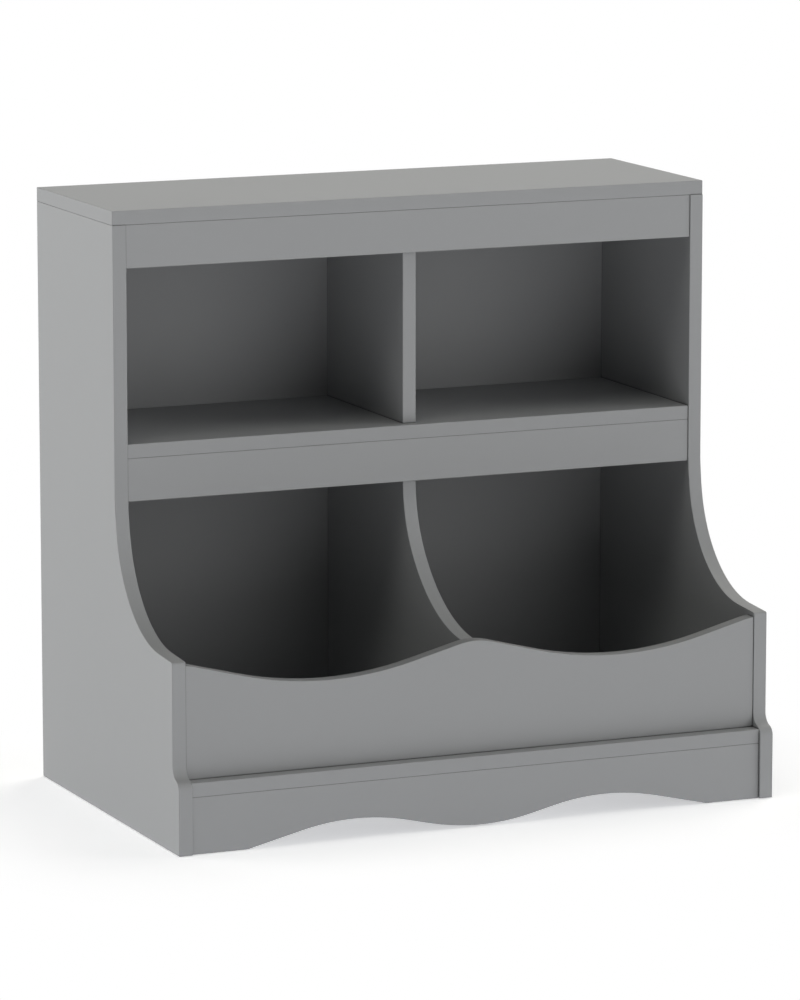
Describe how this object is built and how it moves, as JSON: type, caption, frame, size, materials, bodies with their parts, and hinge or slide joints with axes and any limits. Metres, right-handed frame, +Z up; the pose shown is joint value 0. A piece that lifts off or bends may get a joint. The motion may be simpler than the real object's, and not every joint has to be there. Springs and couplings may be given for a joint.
{
  "type": "toy storage organizer",
  "caption": "Grey painted panel cabinet for children's toys: open cubbies above open scooped bins with a wavy bin front, swept sides and a wavy base skirt.",
  "frame": {"origin": "on the floor under the middle of the overall box", "axes": "+X to the right as seen from the front, +Y to the rear, +Z up; the open front faces -Y"},
  "size_m": [0.68, 0.408, 0.644],
  "materials": {
    "grey_paint": "satin grey paint on fibreboard",
    "grey_back_sheet": "grey painted hardboard sheet",
    "zinc_cam": "die-cast zinc",
    "plated_bolt": "zinc plated steel",
    "plated_screw": "zinc plated steel",
    "plated_nail": "plated steel",
    "beech_dowel": "fluted beech",
    "grey_cap": "matt grey plastic"
  },
  "bodies": {
    "root": {"back_panel": "grey_back_sheet", "back_panel_nails": "plated_nail", "base_skirt": "grey_paint", "base_skirt_cam_bolts": "plated_bolt", "base_skirt_cam_locks": "zinc_cam", "base_skirt_dowels": "beech_dowel", "bin_front": "grey_paint", "bin_front_cam_bolts": "plated_bolt", "bin_front_cam_caps": "grey_cap", "bin_front_cam_locks": "zinc_cam", "bin_front_dowels": "beech_dowel", "bin_front_screws": "plated_screw", "bottom_shelf": "grey_paint", "bottom_shelf_cam_bolts": "plated_bolt", "bottom_shelf_cam_locks": "zinc_cam", "bottom_shelf_dowels": "beech_dowel", "divider_through_bolts": "plated_bolt", "left_side_panel": "grey_paint", "lower_divider": "grey_paint", "lower_divider_cam_caps": "grey_cap", "lower_divider_cam_locks": "zinc_cam", "lower_divider_dowels": "beech_dowel", "lower_divider_screws": "plated_screw", "middle_rail": "grey_paint", "middle_rail_cam_bolts": "plated_bolt", "middle_rail_cam_locks": "zinc_cam", "middle_rail_dowels": "beech_dowel", "middle_shelf": "grey_paint", "middle_shelf_cam_bolts": "plated_bolt", "middle_shelf_cam_locks": "zinc_cam", "middle_shelf_dowels": "beech_dowel", "rear_base_rail": "grey_paint", "rear_base_rail_cam_bolts": "plated_bolt", "rear_base_rail_cam_locks": "zinc_cam", "rear_base_rail_dowels": "beech_dowel", "right_side_panel": "grey_paint", "top_panel": "grey_paint", "top_panel_cam_bolts": "plated_bolt", "top_panel_cam_caps": "grey_cap", "top_panel_cam_locks": "zinc_cam", "top_panel_dowels": "beech_dowel", "top_rail": "grey_paint", "top_rail_cam_bolts": "plated_bolt", "top_rail_cam_locks": "zinc_cam", "top_rail_dowels": "beech_dowel", "upper_divider": "grey_paint", "upper_divider_cam_bolts": "plated_bolt", "upper_divider_cam_caps": "grey_cap", "upper_divider_cam_locks": "zinc_cam", "upper_divider_dowels": "beech_dowel"}
  },
  "joints": []
}
